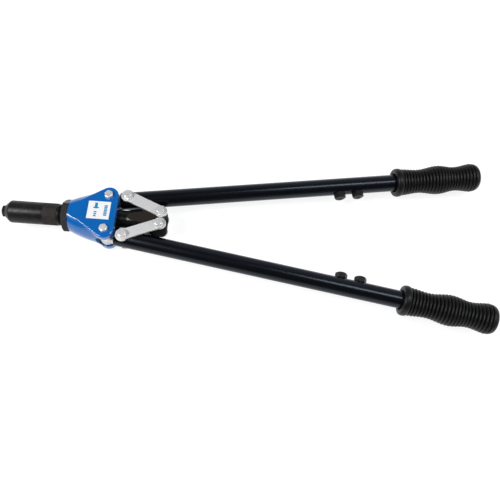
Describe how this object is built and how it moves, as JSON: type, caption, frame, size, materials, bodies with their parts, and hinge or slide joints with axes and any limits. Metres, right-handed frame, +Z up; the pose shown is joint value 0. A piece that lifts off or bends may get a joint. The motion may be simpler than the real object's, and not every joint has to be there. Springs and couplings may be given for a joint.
{
  "type": "hand riveter",
  "caption": "Long-arm hand riveter: two lever handles linked to a crosshead that pulls gripping jaws back through a nosepiece.",
  "frame": {"origin": "centre of the mounted nosepiece's front face, where the rivet's flange sits", "axes": "+X rearwards along the tool's axis, +Y towards the right-hand handle as its user sees it, +Z up"},
  "size_m": [0.5283, 0.2006, 0.043],
  "materials": {
    "blue_paint": "gloss",
    "label": "satin",
    "black_oxide": "satin",
    "zinc": "bright zinc plate",
    "turned_steel": "turned",
    "spring_steel": "drawn",
    "bronze": "satin",
    "blackened_forging": "satin",
    "tube_paint": "gloss",
    "grip_rubber": "semi-gloss"
  },
  "bodies": {
    "head": {"head_body": "blue_paint", "label_plate": "label", "nose_adaptor": "black_oxide", "adaptor_lock_nut": "black_oxide", "nose_sleeve": "black_oxide", "nosepiece_6_4": "black_oxide", "pivot_bolts": "zinc", "pivot_washers": "zinc", "pivot_nuts": "zinc", "pivot_sleeves": "turned_steel", "thrust_washers": "bronze"},
    "pull": {"crosshead": "blackened_forging", "pull_rod": "turned_steel", "pull_rod_lock_nut": "black_oxide", "jaw_case": "turned_steel", "jaw_case_lock_nut": "black_oxide", "jaw_spring": "spring_steel", "pull_link_bolts": "zinc", "pull_link_nuts": "zinc", "pull_link_washers": "zinc"},
    "jaw_pusher": {"jaw_pusher": "turned_steel"},
    "jaw_a": {"jaw_a": "turned_steel"},
    "jaw_b": {"jaw_b": "turned_steel"},
    "jaw_c": {"jaw_c": "turned_steel"},
    "handle_right": {"lever_right": "turned_steel", "tube_right": "tube_paint", "grip_right": "grip_rubber", "link_bolt_right": "zinc", "link_nut_right": "zinc", "link_washers_right": "zinc", "nosepiece_3_2": "black_oxide", "nosepiece_4_0": "black_oxide"},
    "handle_left": {"lever_left": "turned_steel", "tube_left": "tube_paint", "grip_left": "grip_rubber", "link_bolt_left": "zinc", "link_nut_left": "zinc", "link_washers_left": "zinc", "nosepiece_4_8": "black_oxide", "nosepiece_6_0": "black_oxide"},
    "links_right": {"upper_link_right": "zinc", "lower_link_right": "zinc"},
    "links_left": {"upper_link_left": "zinc", "lower_link_left": "zinc"}
  },
  "joints": [
    {"name": "handle_right_swing", "type": "hinge", "parent": "head", "child": "handle_right", "pos_m": [0.11335, 0.0195, 0], "axis": [0, 0, 1], "range_deg": [-3.5, 45]},
    {"name": "handle_left_swing", "type": "hinge", "parent": "head", "child": "handle_left", "pos_m": [0.11335, -0.0195, 0], "axis": [0, 0, -1], "range_deg": [-3.6, 45.1]},
    {"name": "crosshead_slide", "type": "slide", "parent": "head", "child": "pull", "axis": [1, 0, 0], "range_m": [-0.0153, 0.0012]},
    {"name": "link_right_swing", "type": "hinge", "parent": "pull", "child": "links_right", "pos_m": [0.16868, 0.00725, 0], "axis": [0, 0, -1], "range_deg": [-1.9, 22.9]},
    {"name": "link_left_swing", "type": "hinge", "parent": "pull", "child": "links_left", "pos_m": [0.16868, -0.00725, 0], "axis": [0, 0, 1], "range_deg": [-1.9, 22.9]},
    {"name": "jaw_pusher_slide", "type": "slide", "parent": "pull", "child": "jaw_pusher", "axis": [1, 0, 0], "range_m": [0, 0.0035], "stiffness_N_per_m": 1500, "springref_m": -0.004, "deforming": ["jaw_spring"]},
    {"name": "jaw_a_slide", "type": "slide", "parent": "pull", "child": "jaw_a", "axis": [0.9848, 0.1736, 0], "range_m": [0, 0.0036]},
    {"name": "jaw_b_slide", "type": "slide", "parent": "pull", "child": "jaw_b", "axis": [0.9848, -0.0868, 0.1504], "range_m": [0, 0.0036]},
    {"name": "jaw_c_slide", "type": "slide", "parent": "pull", "child": "jaw_c", "axis": [0.9848, -0.0868, -0.1504], "range_m": [0, 0.0036]}
  ],
  "couplings": [
    {"joint": "handle_left_swing", "follows": "handle_right_swing", "ratio": 1},
    {"joint": "crosshead_slide", "follows": "handle_right_swing", "m_per_rad": -0.01941},
    {"joint": "link_right_swing", "follows": "handle_right_swing", "ratio": 0.5066},
    {"joint": "link_left_swing", "follows": "handle_right_swing", "ratio": 0.5066},
    {"joint": "jaw_a_slide", "follows": "jaw_pusher_slide", "ratio": 1.0154},
    {"joint": "jaw_b_slide", "follows": "jaw_pusher_slide", "ratio": 1.0154},
    {"joint": "jaw_c_slide", "follows": "jaw_pusher_slide", "ratio": 1.0154}
  ]
}
